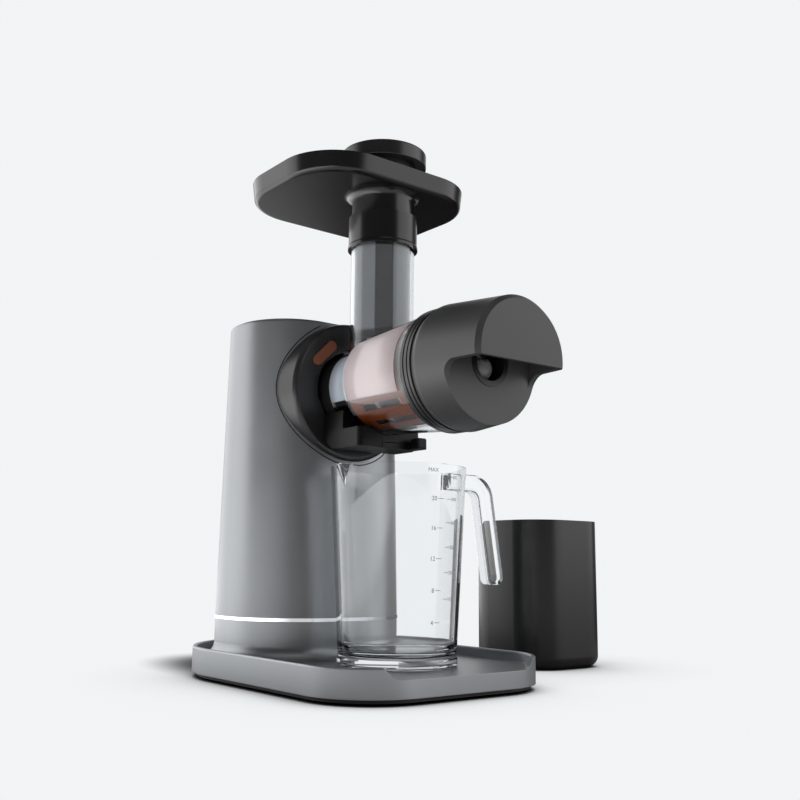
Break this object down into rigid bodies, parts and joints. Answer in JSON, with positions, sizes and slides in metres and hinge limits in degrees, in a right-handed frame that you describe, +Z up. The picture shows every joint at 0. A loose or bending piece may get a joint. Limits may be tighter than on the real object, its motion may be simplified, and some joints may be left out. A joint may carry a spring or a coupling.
{
  "type": "cold press juicer",
  "caption": "Slow juicer: motor tower on a tray, horizontal auger in a clear drum, feed tube with hopper and pusher, hooded pulp cap, measuring jug and square pulp bin",
  "frame": {"origin": "bottom centre of the whole set's box, on the table", "axes": "+Z up, +X from the motor tower to the pulp cap, +Y to the side where the bin stands"},
  "size_m": [0.3004, 0.3166, 0.372],
  "materials": {
    "tray_grey": "satin",
    "tower_grey": "satin",
    "underside_black": "matte",
    "foot_rubber": "matte",
    "screw_steel": "plain",
    "bright_ring": "polished",
    "collar_black": "gloss",
    "socket_steel": "plain",
    "seal_rubber": "matte",
    "button_copper": "satin",
    "gear_nylon": "matte",
    "case_plastic": "matte",
    "bearing_brass": "plain",
    "shaft_steel": "ground",
    "auger_plastic": "satin",
    "motor_steel": "plain",
    "stator_iron": "laminated",
    "fan_plastic": "matte",
    "board_green": "satin",
    "switch_black": "satin",
    "rocker_black": "gloss",
    "drum_clear": "clear plastic, gloss",
    "tube_clear": "clear plastic, gloss",
    "flange_black": "satin",
    "ring_black": "gloss",
    "screen_copper": "satin, copper colour",
    "spout_black": "gloss",
    "cap_black": "satin",
    "nozzle_black": "satin",
    "hopper_black": "gloss",
    "pusher_black": "satin",
    "knob_black": "gloss",
    "jug_clear": "clear plastic, gloss",
    "bin_black": "satin gloss"
  },
  "bodies": {
    "base": {"base_tray": "tray_grey", "base_underplate": "underside_black", "rubber_feet": "foot_rubber", "underplate_screws": "screw_steel", "tower_screws": "screw_steel", "accent_ring": "bright_ring", "tower_shell": "tower_grey", "nose_collar": "collar_black", "bayonet_socket": "socket_steel", "socket_seal": "seal_rubber", "shaft_seal": "seal_rubber", "latch_spring": "screw_steel", "idler_pin": "screw_steel", "gear_housing": "case_plastic", "gear_cover": "case_plastic", "shaft_bearings": "bearing_brass", "motor_can": "motor_steel", "motor_stator": "stator_iron", "motor_cradle": "case_plastic", "control_board": "board_green", "board_posts": "case_plastic", "switch_frame": "switch_black", "cable_gland": "seal_rubber"},
    "release": {"release_button": "button_copper", "latch_bolt": "screw_steel"},
    "rotor": {"rotor_core": "stator_iron", "motor_shaft": "shaft_steel", "cooling_fan": "fan_plastic"},
    "idler": {"idler_gear": "gear_nylon"},
    "drive": {"output_gear": "gear_nylon", "drive_shaft": "shaft_steel", "auger": "auger_plastic"},
    "rocker": {"power_rocker": "rocker_black"},
    "head": {"drum_shell": "drum_clear", "feed_tube": "tube_clear", "bayonet_flange": "flange_black", "drum_seal": "seal_rubber", "front_ring": "ring_black", "screen_basket": "screen_copper", "screen_frame": "flange_black", "spout_block": "spout_black", "drip_pin": "screw_steel"},
    "drip": {"drip_stop": "spout_black"},
    "cap": {"pulp_cap": "cap_black", "cap_seal": "seal_rubber", "outlet_nozzle": "nozzle_black", "auger_spider": "flange_black"},
    "hopper": {"hopper_tray": "hopper_black", "hopper_sleeve": "hopper_black"},
    "pusher": {"pusher_body": "pusher_black", "pusher_knob": "knob_black"},
    "jug": {"measuring_jug": "jug_clear"},
    "bin": {"waste_bin": "bin_black"}
  },
  "joints": [
    {"name": "rotor_spin", "type": "hinge", "parent": "base", "child": "rotor", "pos_m": [-0.08815, -0.07275, 0.10655], "axis": [1, 0, 0], "continuous": true},
    {"name": "idler_spin", "type": "hinge", "parent": "base", "child": "idler", "pos_m": [-0.06815, -0.07275, 0.1478], "axis": [1, 0, 0], "continuous": true},
    {"name": "drive_spin", "type": "hinge", "parent": "base", "child": "drive", "pos_m": [-0.04815, -0.07275, 0.2018], "axis": [1, 0, 0], "continuous": true},
    {"name": "button_press", "type": "slide", "parent": "base", "child": "release", "axis": [-1, 0, 0], "range_m": [0, 0.003], "stiffness_N_per_m": 400, "springref_m": -0.004},
    {"name": "rocker_tilt", "type": "hinge", "parent": "base", "child": "rocker", "pos_m": [-0.12765, -0.07275, 0.0605], "axis": [0, 1, 0], "range_deg": [-10, 10]},
    {"name": "head_twist", "type": "hinge", "parent": "base", "child": "head", "pos_m": [-0.03015, -0.07275, 0.2018], "axis": [1, 0, 0], "range_deg": [0, 28]},
    {"name": "cap_twist", "type": "hinge", "parent": "head", "child": "cap", "pos_m": [0.09185, -0.07275, 0.2018], "axis": [1, 0, 0], "range_deg": [0, 20]},
    {"name": "drip_swing", "type": "hinge", "parent": "head", "child": "drip", "pos_m": [0.01585, -0.05325, 0.159], "axis": [0, 0, 1], "range_deg": [0, 45]},
    {"name": "hopper_lift", "type": "slide", "parent": "head", "child": "hopper", "axis": [0, 0, 1], "range_m": [0, 0.04]},
    {"name": "pusher_lift", "type": "slide", "parent": "hopper", "child": "pusher", "axis": [0, 0, 1], "range_m": [0, 0.09]},
    {"name": "jug_slide", "type": "slide", "parent": "base", "child": "jug", "axis": [1, 0, 0], "range_m": [0, 0.12]},
    {"name": "bin_lift", "type": "slide", "parent": "base", "child": "bin", "axis": [0, 0, 1], "range_m": [0, 0.15]}
  ],
  "couplings": [
    {"joint": "idler_spin", "follows": "rotor_spin", "ratio": -0.25},
    {"joint": "drive_spin", "follows": "rotor_spin", "ratio": 0.083333}
  ]
}
